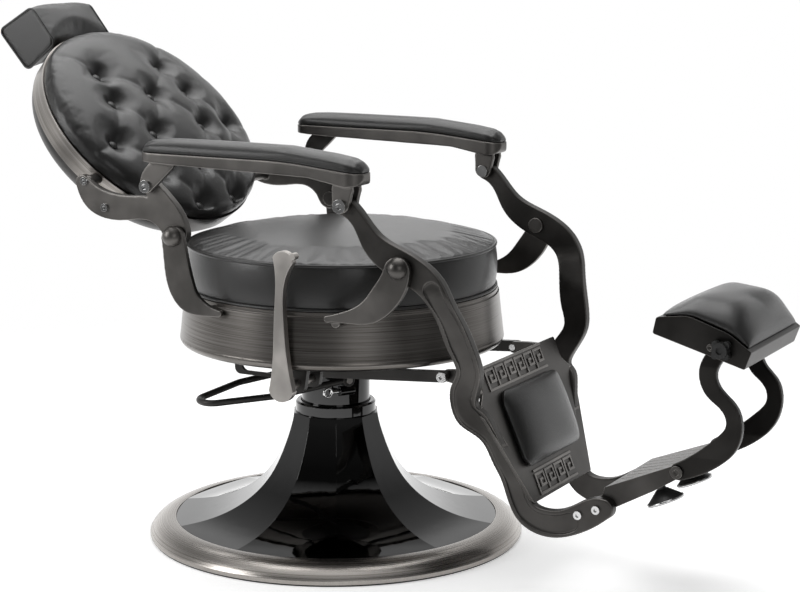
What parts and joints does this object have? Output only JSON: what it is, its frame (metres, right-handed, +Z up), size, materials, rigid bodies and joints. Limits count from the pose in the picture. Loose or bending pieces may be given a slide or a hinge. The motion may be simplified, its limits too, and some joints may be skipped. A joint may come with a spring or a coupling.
{
  "type": "hydraulic barber chair",
  "caption": "Reclining barber chair with a buttoned round back, padded arms, calf rest and foot rest on a pump that lifts and turns over a flared pedestal.",
  "frame": {"origin": "on the floor, on the axis that the chair swivels about", "axes": "+Z up; the chair faces -Y; the sitter's right hand is at -X"},
  "size_m": [0.6999, 1.5408, 0.9773],
  "materials": {
    "satin_grey": "satin grey enamel",
    "bell_black": "gloss black enamel",
    "rubber": "matt black rubber",
    "cast_black": "black painted casting",
    "machined_steel": "plain machined steel",
    "brass": "plain bearing bronze",
    "chrome": "polished chrome",
    "brushed_gunmetal": "brushed gunmetal with a warm cast",
    "gunmetal": "dark gunmetal, half gloss",
    "antique_metal": "near-black antique casting with lighter edges",
    "worn_silver": "silvery worn relief on black",
    "leather": "black leather, half gloss",
    "plywood": "plain plywood",
    "black_plastic": "black moulded plastic"
  },
  "bodies": {
    "base": {"base_plate": "satin_grey", "floor_gasket": "rubber", "bell_cover": "bell_black", "bell_collar": "bell_black", "column_socket": "machined_steel", "column_bolts": "machined_steel", "thrust_washer": "brass"},
    "pump": {"pump_cylinder": "cast_black", "pump_head": "cast_black", "gland_ring": "brass", "pedal_pins": "machined_steel"},
    "lock_pin": {"lock_pin": "chrome"},
    "pedal": {"pedal": "cast_black"},
    "seat": {"lift_ram": "chrome", "ram_piston": "machined_steel", "mount_plate": "cast_black", "seat_pan": "brushed_gunmetal", "seat_panel": "plywood", "seat_cushion": "leather", "rear_upright_right": "gunmetal", "rear_upright_left": "gunmetal", "front_upright_right": "gunmetal", "front_upright_left": "gunmetal", "pivot_studs": "gunmetal", "guide_brackets": "cast_black", "lever_bracket": "cast_black"},
    "recline_lever": {"recline_lever": "gunmetal"},
    "back": {"back_bracket_right": "gunmetal", "back_bracket_left": "gunmetal", "back_band": "brushed_gunmetal", "back_cover": "brushed_gunmetal", "back_panel": "plywood", "back_cushion": "leather", "tuft_buttons": "leather", "back_screws": "chrome", "headrest_guide": "cast_black"},
    "headrest_knob": {"headrest_knob": "black_plastic"},
    "headrest": {"headrest_bar": "chrome", "headrest_cushion": "leather"},
    "arm_right": {"arm_frame_right": "gunmetal", "arm_pad_right": "leather"},
    "arm_left": {"arm_frame_left": "gunmetal", "arm_pad_left": "leather"},
    "leg_frame": {"leg_right": "antique_metal", "leg_left": "antique_metal", "calf_plate": "antique_metal", "key_bands": "worn_silver", "calf_pad": "leather", "step": "antique_metal", "step_glides": "black_plastic", "frame_screws": "chrome", "foot_hinge_pins": "antique_metal"},
    "push_bar_right": {"push_bar_right": "cast_black"},
    "push_bar_left": {"push_bar_left": "cast_black"},
    "foot_arms": {"foot_arm_right": "antique_metal", "foot_arm_left": "antique_metal"},
    "foot_rest": {"foot_tray": "antique_metal", "foot_pad": "leather", "tilt_pins": "antique_metal"},
    "tilt_knob": {"tilt_knob": "black_plastic"}
  },
  "joints": [
    {"name": "swivel", "type": "hinge", "parent": "base", "child": "pump", "pos_m": [0, 0, 0], "axis": [0, 0, 1], "continuous": true},
    {"name": "swivel_lock", "type": "slide", "parent": "pump", "child": "lock_pin", "axis": [-0.8805, 0.4741, 0], "range_m": [0, 0.012], "stiffness_N_per_m": 150, "springref_m": -0.01},
    {"name": "pedal_stroke", "type": "hinge", "parent": "pump", "child": "pedal", "pos_m": [-0.01585, 0.00853, 0.306], "axis": [-0.4741, -0.8805, 0], "range_deg": [0, 20], "stiffness_Nm_per_rad": 10, "springref_deg": -17.19},
    {"name": "seat_lift", "type": "slide", "parent": "pump", "child": "seat", "axis": [0, 0, 1], "range_m": [0, 0.17]},
    {"name": "lever_pull", "type": "hinge", "parent": "seat", "child": "recline_lever", "pos_m": [0, -0.072, 0.343], "axis": [-1, 0, 0], "range_deg": [0, 18], "stiffness_Nm_per_rad": 6, "springref_deg": -11.46},
    {"name": "back_recline", "type": "hinge", "parent": "seat", "child": "back", "pos_m": [0, 0.163, 0.59], "axis": [1, 0, 0], "range_deg": [0, 29]},
    {"name": "headrest_slide", "type": "slide", "parent": "back", "child": "headrest", "axis": [0, 0.682, 0.7314], "range_m": [0, 0.09]},
    {"name": "headrest_clamp", "type": "hinge", "parent": "back", "child": "headrest_knob", "pos_m": [0, 0.50912, 0.85402], "axis": [0, -0.7314, 0.682], "range_deg": [0, 180]},
    {"name": "arm_right_hinge", "type": "hinge", "parent": "back", "child": "arm_right", "pos_m": [-0.298, 0.218, 0.675], "axis": [1, 0, 0], "range_deg": [-32, 0]},
    {"name": "arm_left_hinge", "type": "hinge", "parent": "back", "child": "arm_left", "pos_m": [0.298, 0.218, 0.675], "axis": [1, 0, 0], "range_deg": [-32, 0]},
    {"name": "leg_swing", "type": "hinge", "parent": "seat", "child": "leg_frame", "pos_m": [0, -0.287, 0.568], "axis": [1, 0, 0], "range_deg": [0, 24]},
    {"name": "push_bar_right_hinge", "type": "hinge", "parent": "leg_frame", "child": "push_bar_right", "pos_m": [-0.148, -0.302, 0.358], "axis": [1, 0, 0], "range_deg": [-26, 0]},
    {"name": "push_bar_left_hinge", "type": "hinge", "parent": "leg_frame", "child": "push_bar_left", "pos_m": [0.148, -0.302, 0.358], "axis": [1, 0, 0], "range_deg": [-26, 0]},
    {"name": "foot_rest_fold", "type": "hinge", "parent": "leg_frame", "child": "foot_arms", "pos_m": [0, -0.718, 0.228], "axis": [-1, 0, 0], "range_deg": [0, 60]},
    {"name": "foot_rest_tilt", "type": "hinge", "parent": "foot_arms", "child": "foot_rest", "pos_m": [0, -0.802, 0.452], "axis": [1, 0, 0], "range_deg": [-20, 20]},
    {"name": "tilt_clamp", "type": "hinge", "parent": "foot_rest", "child": "tilt_knob", "pos_m": [-0.128, -0.802, 0.452], "axis": [-1, 0, 0], "range_deg": [0, 180]}
  ],
  "couplings": [
    {"joint": "arm_right_hinge", "follows": "back_recline", "ratio": -1.0965},
    {"joint": "arm_left_hinge", "follows": "back_recline", "ratio": -1.0965},
    {"joint": "leg_swing", "follows": "back_recline", "ratio": 0.8178},
    {"joint": "push_bar_right_hinge", "follows": "back_recline", "ratio": -0.871},
    {"joint": "push_bar_left_hinge", "follows": "back_recline", "ratio": -0.871}
  ]
}
